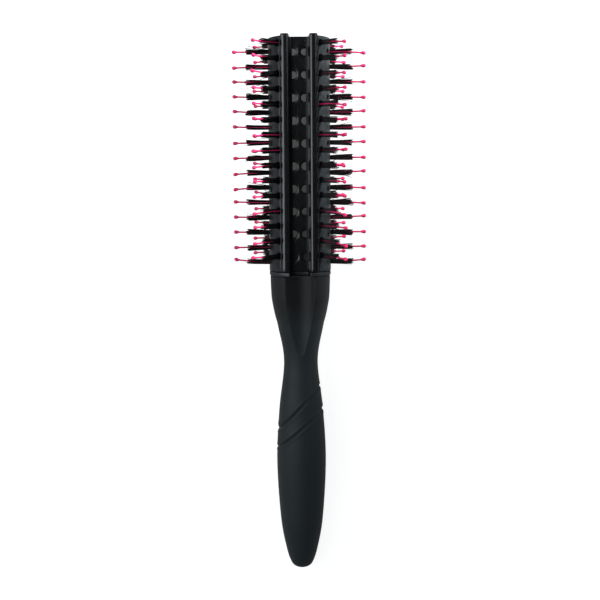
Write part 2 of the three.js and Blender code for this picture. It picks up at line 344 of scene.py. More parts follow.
def contains(loop: np.ndarray, points: np.ndarray) -> np.ndarray:
    """Whether each point lies inside a closed loop, by the even-odd rule."""
    x, y = points[:, :1], points[:, 1:]
    x1, y1 = loop[:, 0], loop[:, 1]
    x2, y2 = np.roll(x1, -1), np.roll(y1, -1)
    crosses = (y1 > y) != (y2 > y)
    rise = np.where(y2 == y1, 1.0, y2 - y1)
    return (crosses & (x < x1 + (y - y1) * (x2 - x1) / rise)).sum(1) % 2 == 1


def holed_sheet(outline: np.ndarray, holes: Sequence[np.ndarray], inner: np.ndarray,
                margin: float) -> tuple[np.ndarray, np.ndarray]:
    """Flat sheet with holes, as triangles.

    Args:
        outline: (n, 2) loop round the sheet.
        holes: (m, 2) loops of the holes.
        inner: (k, 2) points that carry the sheet's curve between its edges.
        margin: inner points nearer to a hole than this are dropped.

    Returns:
        The sheet's (p, 2) points and (q, 4) faces.
    """
    for hole in holes:
        middle = hole.mean(0)
        reach = np.linalg.norm(hole - middle, axis=1).max() + margin
        inner = inner[np.linalg.norm(inner - middle, axis=1) > reach]
    loops = [outline, *holes]
    starts = np.cumsum([0] + [len(loop) for loop in loops])
    edges = [
        (int(start + k), int(start + (k + 1) % len(loop)))
        for loop, start in zip(loops, starts) for k in range(len(loop))
    ]
    spots = [Vector(spot) for spot in np.vstack([*loops, inner])]
    found, _, triangles, *_ = delaunay_2d_cdt(spots, edges, [], 1, 1e-5, False)
    points = np.array([tuple(spot) for spot in found])
    faces = np.array([tuple(triangle) for triangle in triangles])
    centres = points[faces].mean(1)
    keep = contains(outline, centres)
    for hole in holes:
        near = np.abs(centres - hole.mean(0)).max(1) < np.ptp(hole, axis=0).max()
        inside = np.zeros(len(faces), bool)
        inside[near] = contains(hole, centres[near])
        keep &= ~inside
    faces = faces[keep]
    return points, np.concatenate([faces, faces[:, 2:]], 1)


# ---------------------------------------------------------------- finishes


def linear(colour: str) -> tuple[float, float, float, float]:
    """sRGB hex, such as "1f2325", to linear RGBA."""
    parts = [int(colour[k:k + 2], 16) / 255 for k in (0, 2, 4)]
    return (*(c / 12.92 if c <= 0.04045 else ((c + 0.055) / 1.055) ** 2.4 for c in parts), 1.0)


def add_node(tree: bpy.types.NodeTree, kind: str, values: dict | None = None,
             links: dict | None = None, **settings: object) -> bpy.types.Node:
    """Add a node with its settings, socket values and incoming links.

    Args:
        tree: node tree to add to.
        kind: node type, such as "ShaderNodeBump".
        values: input name or number to value.
        links: input name or number to the output socket that feeds it.
        **settings: attributes of the node itself.

    Returns:
        The node.
    """
    made = tree.nodes.new(kind)
    for key, value in settings.items():
        setattr(made, key, value)
    for key, value in (values or {}).items():
        made.inputs[key].default_value = value
    for key, socket in (links or {}).items():
        tree.links.new(socket, made.inputs[key])
    return made


def noise_scale(size_mm: float) -> float:
    """Noise scale whose features are about this many millimetres across, on metre coordinates."""
    return 1 / (size_mm * MM)


@dataclass(frozen=True)
class Finish:
    """A moulded polymer surface: colour that drifts slowly, and fine grain in its relief.

    The slow drift is the flow and handling marks of a moulding. The grain is the texture of the
    mould's wall. drift_mm and grain_mm are their sizes, and grain_depth_mm is the relief's depth.
    """

    name: str
    slot: str
    colour: str
    colour_worn_and_lit: str
    roughness: float
    roughness_drift: float
    ior: float
    drift_mm: float
    grain_mm: float
    grain_depth_mm: float
    coat: float = 0.0
    sheen: float = 0.0
    subsurface: float = 0.0

    def colour_source(self, tree: bpy.types.NodeTree,
                      coordinates: bpy.types.NodeSocket) -> bpy.types.NodeSocket:
        """Colour output: the two colours mixed by slow noise."""
        drift = add_node(tree, "ShaderNodeTexNoise", {
            "Scale": noise_scale(self.drift_mm), "Detail": 3.0,
        }, {"Vector": coordinates})
        return self.ramp(tree, drift.outputs["Fac"])

    def ramp(self, tree: bpy.types.NodeTree, factor: bpy.types.NodeSocket) -> bpy.types.NodeSocket:
        """Colour ramp from the plain colour to the worn one; in the grip and the collar it runs
        from painted shade to the lit colour.
        """
        ramp = add_node(tree, "ShaderNodeValToRGB", links={"Fac": factor})
        ramp.color_ramp.elements[0].position = 0.3
        ramp.color_ramp.elements[0].color = linear(self.colour)
        ramp.color_ramp.elements[1].position = 0.75
        ramp.color_ramp.elements[1].color = linear(self.colour_worn_and_lit)
        return ramp.outputs["Color"]

    def build(self) -> bpy.types.Material:
        """The material, made once.

        Returns:
            A Principled surface whose colour, roughness and relief vary over the piece.
        """
        made = bpy.data.materials.get(self.name)
        if made:
            return made
        made = bpy.data.materials.new(self.name)
        made.use_nodes = True
        tree = made.node_tree
        shader = tree.nodes["Principled BSDF"]
        coordinates = add_node(tree, "ShaderNodeTexCoord").outputs["Object"]
        tree.links.new(self.colour_source(tree, coordinates), shader.inputs["Base Color"])
        patches = add_node(tree, "ShaderNodeTexNoise", {
            "Scale": noise_scale(self.drift_mm / 3), "Detail": 4.0,
        }, {"Vector": coordinates})
        spread = add_node(tree, "ShaderNodeMapRange", {
            "To Min": self.roughness - self.roughness_drift,
            "To Max": self.roughness + self.roughness_drift,
        }, {"Value": patches.outputs["Fac"]})
        tree.links.new(spread.outputs["Result"], shader.inputs["Roughness"])
        grain = add_node(tree, "ShaderNodeTexNoise", {
            "Scale": noise_scale(self.grain_mm), "Detail": 2.0, "Roughness": 0.6,
        }, {"Vector": coordinates})
        bump = add_node(tree, "ShaderNodeBump", {"Strength": 1.0, "Distance": self.grain_depth_mm * MM},
                        {"Height": grain.outputs["Fac"]})
        tree.links.new(bump.outputs["Normal"], shader.inputs["Normal"])
        shader.inputs["IOR"].default_value = self.ior
        shader.inputs["Coat Weight"].default_value = self.coat
        shader.inputs["Coat Roughness"].default_value = 0.08
        shader.inputs["Sheen Weight"].default_value = self.sheen
        shader.inputs["Sheen Roughness"].default_value = 0.6
        shader.inputs["Subsurface Weight"].default_value = self.subsurface
        shader.inputs["Subsurface Scale"].default_value = 0.5 * MM
        return made


@dataclass(frozen=True)
class TonedFinish(Finish):
    """A finish whose colour follows the piece's own tone value instead of noise."""

    def colour_source(self, tree: bpy.types.NodeTree,
                      coordinates: bpy.types.NodeSocket) -> bpy.types.NodeSocket:
        """Colour output: the two colours mixed by the tone attribute."""
        tone = add_node(tree, "ShaderNodeAttribute", attribute_name="tone")
        return self.ramp(tree, tone.outputs["Fac"])


# Thermoplastic elastomer moulded over the core, with a soft matt skin: wide dim highlights and a faint
# bloom at grazing angles, and painted shade that darkens it towards the collar. The mould's grain is
# finer, and is drawn at 0.5 mm so it shows.
SOFT_GRIP = TonedFinish("soft_touch_elastomer_moulded", "soft_grip", "050708", "141c1e", 0.6, 0.05, 1.42,
                        18.0, 0.5, 0.012, sheen=0.06)
# High-gloss ABS from a polished mould: near-black, sharp bright lines along the fillets.
GLOSS_ABS = Finish("abs_black_polished_mould", "gloss_black", "08090a", "0d0e10", 0.23, 0.04, 1.54,
                   14.0, 2.5, 0.004, coat=0.15)
# Charcoal ABS from a spark-eroded mould: a dry sparkle of grain that lightens towards its edges.
# Real spark grain is about 0.1 mm, and is drawn at 0.35 mm so it shows.
SPARK_ABS = Finish("abs_charcoal_spark_eroded", "flank_plastic", "171a1c", "282b2d", 0.27, 0.06, 1.42,
                   4.0, 0.35, 0.03)
# Satin ABS ring, a shade lighter than the grip, with painted shade where the channels cut through it.
SATIN_ABS = TonedFinish("abs_dark_grey_satin", "collar_plastic", "08090a", "1d2123", 0.42, 0.05, 1.54,
                   9.0, 0.4, 0.008)
# Unpolished black ABS of the inside pieces.
PLAIN_ABS = Finish("abs_black_plain_moulded", "black_plastic", "0f1011", "161718", 0.5, 0.06, 1.54,
                   8.0, 0.5, 0.01)
# Nylon and boar bristle: each strand has its own tone, from black to dark brown-black.
BRISTLE = TonedFinish("bristle_black_mixed", "bristle", "030303", "100f0f", 0.5, 0.06, 1.5,
                      6.0, 0.6, 0.004)
# Moulded pink nylon: slightly translucent, deeper along the shaft and brighter at the ball.
PIN_NYLON = TonedFinish("nylon_pink_moulded", "pin_nylon", "ce2664", "e83870", 0.3, 0.05, 1.53,
                        5.0, 1.5, 0.004, subsurface=0.25)


def adopt(piece: bpy.types.Object, finish: Finish, *nodes: str) -> None:
    """Ride a piece on the brush and let it stand for its CAD nodes."""
    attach(piece, BODY)
    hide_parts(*nodes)


# ---------------------------------------------------------------- grip and collar


@dataclass
class Grip:
    """Soft grip: a waisted round body with a scoop front and back and two slanted grooves."""

    axis: BrushAxis
    outline: tuple[tuple[float, float], ...] = (
        (0, 0), (3.2, 0.9), (5.3, 3.2), (7.5, 10), (10.1, 25), (11.7, 53), (10.45, 78),
        (8.05, 101), (10.7, 117.5), (11.95, 122.5), (13.0, 127.5), (13.75, 132.5), (14.15, GRIP_END),
    )
    bore: tuple[tuple[float, float], ...] = (
        (0, 6), (3.5, 7), (5.3, 9), (7.9, 25), (9.5, 53), (8.2, 78), (5.7, 98), (5.7, GRIP_END),
    )
    scoop_radius: float = 7.5
    scoop_floor: float = 8.0
    scoop_fades: float = 106.0
    scoop_rise: float = 0.12
    scoop_columns: int = 27
    body_columns: int = 31
    top_ease: float = 0.35
    top_reach: float = 0.6
    grooves: tuple[tuple[float, float], ...] = ((80.0, 46.0), (69.5, 40.0))
    groove_depth: float = 0.6
    groove_half: float = 0.5
    painted_shade_reach: float = 36.0
    shoulder: float = 0.12
    shoulder_away: float = 1.3
    slant_fades: tuple[float, float] = (34.0, 112.0)

    def rows(self) -> np.ndarray:
        """Row positions, close together at the butt, in the grooves and at the top edge."""
        plain = np.linspace(0, GRIP_END, 150)
        butt = 6 * np.linspace(0, 1, 24) ** 2
        fine = [station + np.linspace(-3, 3, 61) for station, _ in self.grooves]
        top = GRIP_END - self.top_reach * np.linspace(0, 1, 5)
        return np.unique(np.round(np.concatenate([plain, butt, *fine, top]), 3))

    def radius(self, station: np.ndarray) -> np.ndarray:
        """Outer radius at a station, from the outline's curve, with the top edge eased."""
        curve = smooth_through(self.outline, 40)
        near = np.clip(1 - (GRIP_END - station) / self.top_reach, 0, 1)
        ease = self.top_ease * (1 - np.sqrt(1 - near**2))
        return np.interp(station, curve[:, 1], curve[:, 0]) - ease

    def slant(self, row: np.ndarray) -> np.ndarray:
        """How far a row leans per millimetre of x: the grooves' slopes, fading to none."""
        below, above = self.slant_fades
        places = [below, *(station for station, _ in reversed(self.grooves)), above]
        slopes = [0.0, *(math.tan(math.radians(angle)) for _, angle in reversed(self.grooves)), 0.0]
        return np.interp(row, places, slopes)

    def angles(self, radius: np.ndarray) -> np.ndarray:
        """Angles of the columns of one quarter, crowded towards the scoop's edge.

        The scoop's edge lies where the round body meets the scoop's cylinder: by the law of
        cosines, cos a = (r^2 + c^2 - q^2) / 2rc, with c the cylinder's centre and q its radius.
        """
        centre = self.scoop_floor + self.scoop_radius
        cosine = (radius**2 + centre**2 - self.scoop_radius**2) / (2 * np.maximum(radius, 0.1) * centre)
        edge = np.maximum(np.arccos(np.clip(cosine, -1, 1)), math.radians(7))[:, None]
        inner = np.sin(np.linspace(0, 1, self.scoop_columns) * math.pi / 2)[None, :] * edge
        spread = np.linspace(0, 1, self.body_columns)[None, 1:] ** 1.3
        return np.concatenate([inner, edge + (math.pi / 2 - edge) * spread], 1)

    def outer(self) -> np.ndarray:
        """Outer surface, (rows, columns, 3).

        Each row is the round body cut back to the scoops, r = min(body, scoop), with the scoop's
        edge eased by averaging neighbours, then sunk by the groove's profile, a narrow dip
        between two low shoulders.
        """
        row = self.rows()
        quarter = self.angles(self.radius(row))
        turn = np.concatenate([
            quarter, math.pi - quarter[:, -2::-1],
            math.pi + quarter[:, 1:], 2 * math.pi - quarter[:, -2:0:-1],
        ], 1)
        station = np.repeat(row[:, None], turn.shape[1], 1)
        for _ in range(6):
            body = self.radius(station)
            station = row[:, None] + self.slant(row)[:, None] * body * np.sin(turn)
            station = np.clip(station, 0, GRIP_END)
        fade = self.scoop_rise * np.clip(self.scoop_fades - station, 0, None)
        centre = self.scoop_floor + self.scoop_radius + fade
        chord = self.scoop_radius**2 - (centre * np.sin(turn)) ** 2
        scoop = centre * np.abs(np.cos(turn)) - np.sqrt(np.clip(chord, 0, None))
        body = np.where(chord > 0, np.minimum(body, scoop), body)
        points = np.stack([body * np.sin(turn), station, body * np.cos(turn)], -1)
        return self.with_grooves(self.with_eased_edges(points), row)

    def painted_light_share(self, station: np.ndarray) -> np.ndarray:
        """Share of the lit colour: whole away from the collar, falling to painted shade at the collar."""
        return smooth_step((GRIP_END - station) / self.painted_shade_reach)

    def with_eased_edges(self, points: np.ndarray) -> np.ndarray:
        """Round the scoops' edges: near an edge each point moves to its neighbours' mean."""
        columns = points.shape[1]
        edge, half = self.scoop_columns - 1, columns // 2
        edges = [edge, half - edge, half + edge, columns - edge]
        away = np.min([np.abs(np.arange(columns) - column) for column in edges], axis=0)
        weight = (0.6 * np.exp(-((away / 1.6) ** 2)))[None, :, None]
        for _ in range(3):
            mean = (np.roll(points, 1, 1) + np.roll(points, -1, 1)) / 2
            points = points * (1 - weight) + mean * weight
        return points

    def with_grooves(self, points: np.ndarray, row: np.ndarray) -> np.ndarray:
        """Sink the two grooves into the rows that follow them."""
        sunk = np.zeros(len(row))
        for station, slope in self.grooves:
            away = np.abs(row - station) * math.cos(math.radians(slope))
            sunk += self.groove_depth * np.exp(-((away / self.groove_half) ** 2))
            sunk -= self.shoulder * np.exp(-(((away - self.shoulder_away) / self.groove_half) ** 2))
        radius = np.maximum(np.hypot(points[..., 0], points[..., 2]), 1e-6)[..., None]
        return points - points * (1, 0, 1) / radius * sunk[:, None, None]

    def build(self) -> None:
        """Outer skin, flat top and the bore that holds the core, as one closed shell."""
        outer = self.outer()
        outer[0] = (0, 0, 0)
        bore = smooth_through(self.bore[1:], 8)
        turn = np.linspace(0, 2 * math.pi, outer.shape[1], endpoint=False)
        inner = np.stack([
            bore[:, :1] * np.sin(turn), np.repeat(bore[:, 1:], len(turn), 1), bore[:, :1] * np.cos(turn),
        ], -1)
        top = np.stack([outer[-1], inner[-1]])
        floor = np.stack([inner[0], np.broadcast_to((0.0, self.bore[0][1], 0.0), inner[0].shape)])
        # tone carries painted shade: the grip's colour darkens towards the collar
        patch = Patch.joined([Patch.grid(part, wrap=True, tone=self.painted_light_share(part[..., 1]))
                              for part in (outer, top, inner, floor)])
        piece = build_object("grip_soft_sleeve", patch, self.axis, SOFT_GRIP.build(), sharp=50)
        adopt(piece, SOFT_GRIP, "grip_sleeve")


@dataclass
class Collar:
    """Ring between grip and barrel, round with the channels cut through it."""

    axis: BrushAxis
    start: float = 142.4
    end: float = 144.3
    radius: float = 14.4
    hole: tuple[float, float] = (6.8, 4.0)
    edge: float = 0.3
    corner_gap: float = 0.03
    mouth_ease: float = 0.45
    foot_ease: float = 0.5
    painted_shade_inside: float = 13.2
    painted_shade_fade: float = 0.8

    def outline(self) -> np.ndarray:
        """Loop of the ring's section, in x and z, with eased channel corners."""
        lift = math.acos(CHANNEL_MOUTH / self.radius)
        right = np.linspace(-lift + self.corner_gap, lift - self.corner_gap, 60)
        arc = self.radius * np.stack([np.cos(right), np.sin(right)], -1)
        mouth = self.radius * math.sin(lift)
        half = [(arc[-1, 0], arc[-1, 1], 0), (CHANNEL_MOUTH, mouth, self.mouth_ease),
                (CHANNEL_FOOT, CHANNEL_FLOOR, self.foot_ease)]
        channel = rounded_path([*half, *((-x, z, ease) for x, z, ease in reversed(half))])[1:-1]
        return np.vstack([arc, channel, -arc, -channel])

    def build(self) -> None:
        """Closed ring: outer wall with eased edges, end faces and the hole for the tang."""
        loop = self.outline()
        normal = np.roll(loop, -1, 0) - np.roll(loop, 1, 0)
        normal = np.stack([normal[:, 1], -normal[:, 0]], -1) / np.linalg.norm(normal, axis=1)[:, None]
        turn = np.linspace(0, math.pi / 2, 5)
        rise = self.edge * (1 - np.cos(turn))
        station = np.concatenate([self.start + rise, self.end - rise[::-1]])
        inset = self.edge * (1 - np.sin(turn))
        inset = np.concatenate([inset, inset[::-1]])
        wall = loop[None] - normal[None] * inset[:, None, None]
        rows = at_station(wall, station[:, None])
        width, depth = self.hole
        hole = np.array([(width, -depth), (width, depth), (-width, depth), (-width, -depth)])
        faces, corners = holed_sheet(wall[0], [hole], np.empty((0, 2)), 0)
        # Painted shade: the wall turns dark inside the channels, and the end faces and the tang hole take
        # the dark colour too.
        tone = np.clip((np.hypot(loop[:, 0], loop[:, 1]) - self.painted_shade_inside) / self.painted_shade_fade, 0, 1)
        parts = [Patch.grid(rows, wrap=True, tone=tone)]
        ends = (self.start, self.end)
        parts += [Patch(at_station(faces, place), corners, np.zeros(len(faces))) for place in ends]
        parts.append(Patch.grid(np.stack([at_station(hole, place) for place in ends]), wrap=True))
        piece = build_object("collar_ring_satin", Patch.joined(parts), self.axis, SATIN_ABS.build())
        adopt(piece, SATIN_ABS, "collar_ring")


# ---------------------------------------------------------------- barrel


@dataclass
class Trough:
    """Glossy channel with a rail on each side and two columns of half-round vents."""

    axis: BrushAxis
    wall: float = 1.2
    skirt: float = 11.0
    flat: float = 3.3
    vent_inner: float = 0.9
    vent_outer: float = 3.2
    vent_radius: float = 1.95
    vent_sides: int = 28
    rim: float = 0.12
    rim_drop: float = 0.14
    foot_fillet: float = 0.35
    inner_fillet: float = 1.1
    outer_fillet: float = 1.6
    hidden_fillet: float = 0.25
    hidden_foot_fillet: float = 0.3
    end_ease: float = 0.6
    floor_setback: float = 1.0
    setback_start: float = 1.5
    setback_depth: float = 4.0

    def half_section(self) -> tuple[np.ndarray, np.ndarray]:
        """Visible side and hidden side of one rail, from the floor to the skirt's lip."""
        wall, fillet = self.wall, self.hidden_fillet
        shown = rounded_path([
            (self.flat, CHANNEL_FLOOR, 0), (CHANNEL_FOOT, CHANNEL_FLOOR, self.foot_fillet),
            (CHANNEL_MOUTH, RAIL_TOP, self.inner_fillet), (RAIL_SPAN, RAIL_TOP, self.outer_fillet),
            (RAIL_SPAN, self.skirt, 0),
        ], 10)
        hidden = rounded_path([
            (self.flat, CHANNEL_FLOOR - wall, 0),
            (CHANNEL_FOOT + wall, CHANNEL_FLOOR - wall, self.hidden_foot_fillet),
            (CHANNEL_MOUTH + wall, RAIL_TOP - wall, fillet), (RAIL_SPAN - wall, RAIL_TOP - wall, fillet),
            (RAIL_SPAN - wall, self.skirt, 0),
        ], 4)
        return resampled(shown, 64), resampled(hidden, 64)

    def settle(self, points: np.ndarray) -> np.ndarray:
        """Draw the free end back from the rails towards the channel floor."""
        depth = np.clip((RAIL_TOP - self.setback_start - points[:, 2]) / self.setback_depth, 0, 1)
        back = points.copy()
        back[:, 1] -= self.floor_setback * free_end_share(points[:, 1]) * depth
        return back

    def lines(self) -> np.ndarray:
        """Stations of the rows, the same for the rails and for the floor's edges."""
        ease = self.end_ease
        return np.linspace(BARREL_START + ease, BARREL_END - ease, 100)

    def rail(self) -> Patch:
        """One rail: both sides carried along the barrel, and rounded ends.

        At each end the two sides close on each other through a quarter circle: the inset is
        e(1 - cos a) and the advance e sin a.
        """
        shown, hidden = self.half_section()
        across = hidden - shown
        across = across / np.linalg.norm(across, axis=1)[:, None]
        turn = np.linspace(0, math.pi / 2, 6)[1:]
        advance = self.end_ease * np.sin(turn)
        inset = 0.5 * self.end_ease * (1 - np.cos(turn))
        middle = self.lines()
        station = np.concatenate([middle[0] - advance[::-1], middle, middle[-1] + advance])
        inset = np.concatenate([inset[::-1], np.zeros(len(middle)), inset])
        parts = []
        for path, sign in ((shown, 1), (hidden, -1)):
            side = path[None] + sign * across[None] * inset[:, None, None]
            side[:, 0] = path[0]
            parts.append(at_station(side, station[:, None]))
        caps = [np.stack([parts[0][end], parts[1][end]]) for end in (0, -1)]
        lip = np.stack([parts[0][:, -1], parts[1][:, -1]])
        return Patch.joined([Patch.grid(part) for part in (*parts, *caps, lip)])

    def vent_loops(self, grow: float) -> np.ndarray:
        """Loops of the right-hand vents, (count, points, 2): a circle cut straight by the wall."""
        loop = (self.vent_radius + grow) * unit_circle(self.vent_sides)
        loop[:, 0] += self.vent_inner + self.vent_radius
        loop[:, 0] = np.minimum(loop[:, 0], self.vent_outer + 0.4 * grow)
        return loop[None] + np.stack([np.zeros(VENT_COUNT), vent_stations()], -1)[:, None]

    def floor(self) -> Patch:
        """Floor between the rails, both faces, with the vents' walls and eased rims."""
        middle = self.lines()
        advance = self.end_ease * np.sin(np.linspace(0, math.pi / 2, 6)[1:])
        station = np.concatenate([middle[0] - advance[::-1], middle, middle[-1] + advance])
        right = np.stack([np.full(len(station), self.flat), station], -1)
        outline = np.vstack([right, right[::-1] * (-1, 1)])
        rim = self.vent_loops(self.rim)
        both = np.concatenate([rim, rim * (-1, 1)])
        across, along = np.meshgrid(np.linspace(-2.6, 2.6, 7), np.linspace(146, 252.5, 72))
        spots = np.stack([across.ravel(), along.ravel()], -1)
        points, faces = holed_sheet(outline, list(both), spots, 0.3)
        heights = (CHANNEL_FLOOR, CHANNEL_FLOOR - self.wall)
        sheets = [Patch(at_height(points, height), faces, np.zeros(len(points))) for height in heights]
        lip = [(self.rim, 0.0), (self.rim / 4, 0.04), (0.0, self.rim_drop)]
        steps = [*lip, *((grow, self.wall - drop) for grow, drop in reversed(lip))]
        tube = np.stack([at_height(self.vent_loops(grow), CHANNEL_FLOOR - drop) for grow, drop in steps], 1)
        walls = Patch.grid(tube, wrap=True)
        edge = np.array([[(-self.flat, height), (self.flat, height)] for height in heights])
        ends = [Patch.grid(at_station(edge, place)) for place in (station[0], station[-1])]
        return Patch.joined([*sheets, walls, walls.mirrored(), *ends])

    def build(self) -> None:
        """The front trough, and the same trough turned over for the back."""
        rail = self.rail()
        patch = Patch.joined([rail, rail.mirrored(), self.floor()])
        patch.points = self.settle(patch.points)
        for name, node, surface in (("channel_front_gloss", "front_channel", patch),
                                    ("channel_rear_gloss", "rear_channel", patch.turned_over())):
            adopt(build_object(name, surface, self.axis, GLOSS_ABS.build()), GLOSS_ABS, node)


@dataclass
class Flank:
    """Charcoal shell of one side: an arc of wall with tuft sockets and round vents."""

    axis: BrushAxis
    edge_x: float = 8.85
    socket_radius: float = 1.6
    socket_rim: float = 0.35
    vent_angles: tuple[float, float] = (67.0, 113.0)
    vent_radius: float = 1.15
    vent_rim: float = 0.2
    side_ease: float = 0.25
    free_ease: float = 0.8
    setback: float = 0.75
    columns: int = 40
    lines: int = 110

    def to_points(self, across: np.ndarray, station: np.ndarray, drop: np.ndarray) -> np.ndarray:
        """Unroll the wall: across is the arc length at the outside, drop the depth below it."""
        turn = across / BARREL_RADIUS
        back = station - self.setback * free_end_share(station) * np.sin(turn) ** 2
        radius = BARREL_RADIUS - drop
        return np.stack(np.broadcast_arrays(radius * np.sin(turn), back, radius * np.cos(turn)), -1)

    def openings(self) -> list[tuple[np.ndarray, float, float]]:
        """Centres, radius and rim width of each family of holes."""
        rows = [(row.angle, row.stations, self.socket_radius, self.socket_rim) for row in Row]
        rows += [(angle, vent_stations(), self.vent_radius, self.vent_rim) for angle in self.vent_angles]
        return [
            (np.stack([np.full(len(places), math.radians(angle) * BARREL_RADIUS), places], -1), radius, rim)
            for angle, places, radius, rim in rows
        ]

    def border(self) -> tuple[np.ndarray, np.ndarray]:
        """Loop round the unrolled wall, and for each of its points the way out of the sheet."""
        first = math.asin(self.edge_x / BARREL_RADIUS) * BARREL_RADIUS + self.side_ease
        last = math.pi * BARREL_RADIUS - first
        low, high = BARREL_START + self.side_ease, FLANK_END - self.free_ease
        across, along = np.linspace(first, last, self.columns), np.linspace(low, high, self.lines)
        sides = [(across, low), (last, along), (across[::-1], high), (first, along[::-1])]
        loop = np.vstack([np.stack(np.broadcast_arrays(x, y), -1)[:-1] for x, y in sides])
        out = np.stack([
            self.side_ease * ((loop[:, 0] == last) * 1.0 - (loop[:, 0] == first)),
            self.free_ease * (loop[:, 1] == high) - self.side_ease * (loop[:, 1] == low),
        ], -1)
        return loop, out

    def edge_band(self, loop: np.ndarray, out: np.ndarray) -> Patch:
        """Wall's edge from the outer sheet to the inner one, eased by a quarter circle.

        The sheet's border moves out by e sin a while it drops by e(1 - cos a), and then goes
        straight down to the inner face and back to the same border there.
        """
        turn = np.linspace(0, math.pi / 2, 7)
        ease = np.where(np.abs(out[:, 1]) > self.side_ease, self.free_ease, self.side_ease)
        moves = [(math.sin(a), ease * (1 - math.cos(a))) for a in turn]
        moves += [(1.0, np.full(len(loop), FLANK_WALL)), (0.0, np.full(len(loop), FLANK_WALL))]
        rows = [self.to_points(*(loop + out * grow).T, drop) for grow, drop in moves]
        return Patch.grid(np.stack(rows), wrap=True)

    def build(self) -> None:
        """Both shells: outer and inner sheets, hole walls and eased edges."""
        loop, out = self.border()
        circle = unit_circle(24)
        holes, tubes = [], []
        for centres, radius, rim in self.openings():
            holes.extend(centres[:, None] + (radius + rim) * circle)
            steps = [(rim, 0.0), (0.5 * rim, 0.1 * rim), (0.12 * rim, 0.45 * rim), (0.0, rim),
                     (0.0, FLANK_WALL), (rim, FLANK_WALL)]
            rings = [centres[:, None] + (radius + grow) * circle for grow, _ in steps]
            tube = np.stack([self.to_points(ring[..., 0], ring[..., 1], np.array(drop))
                             for ring, (_, drop) in zip(rings, steps)], 1)
            tubes.append(Patch.grid(tube, wrap=True))
        across = np.linspace(loop[:, 0].min(), loop[:, 0].max(), self.columns)[1:-1]
        along = np.linspace(loop[:, 1].min(), loop[:, 1].max(), self.lines)[1:-1]
        lattice = np.stack(np.meshgrid(across, along), -1).reshape(-1, 2)
        points, faces = holed_sheet(loop, holes, lattice, 0.25)
        sheets = [Patch(self.to_points(*points.T, np.array(drop)), faces, np.zeros(len(points)))
                  for drop in (0.0, FLANK_WALL)]
        right = Patch.joined([*sheets, *tubes, self.edge_band(loop, out)])
        for side, surface in ((Side.RIGHT, right), (Side.LEFT, right.mirrored())):
            label = side.name.lower()
            piece = build_object(f"flank_{label}_charcoal", surface, self.axis, SPARK_ABS.build())
            adopt(piece, SPARK_ABS, f"{label}_flank")


# ---------------------------------------------------------------- tufts and pins


def standing(points: np.ndarray, angle: float) -> np.ndarray:
    """Turn shapes drawn upright (across, station, distance from the axis) to a row's angle."""
    turn = math.radians(angle)
    x = points[..., 0] * math.cos(turn) + points[..., 2] * math.sin(turn)
    z = points[..., 2] * math.cos(turn) - points[..., 0] * math.sin(turn)
    return np.stack([x, points[..., 1], z], -1)


def tubes_along(centres: np.ndarray, radii: np.ndarray, sides: int, tone: np.ndarray) -> Patch:
    """Thin round pieces along nearly upright centre lines, closed at both ends.

    Args:
        centres: (pieces, rows, 3) centre lines, drawn upright.
        radii: (pieces, rows) radius along each.
        sides: corners of the round section.
        tone: (pieces, rows) tone values.

    Returns:
        All of them as one patch: each ring is its centre plus r cos a across and r sin a along.
    """
    ring = at_height(unit_circle(sides), 0.0)
    closed = np.concatenate([centres[:, :1], centres, centres[:, -1:]], 1)
    none = np.zeros((len(radii), 1))
    grown = np.concatenate([none, radii, none], 1)
    points = closed[:, :, None] + grown[:, :, None, None] * ring
    shade = np.concatenate([tone[:, :1], tone, tone[:, -1:]], 1)
    return Patch.grid(points, wrap=True, tone=np.repeat(shade[:, :, None], sides, 2))


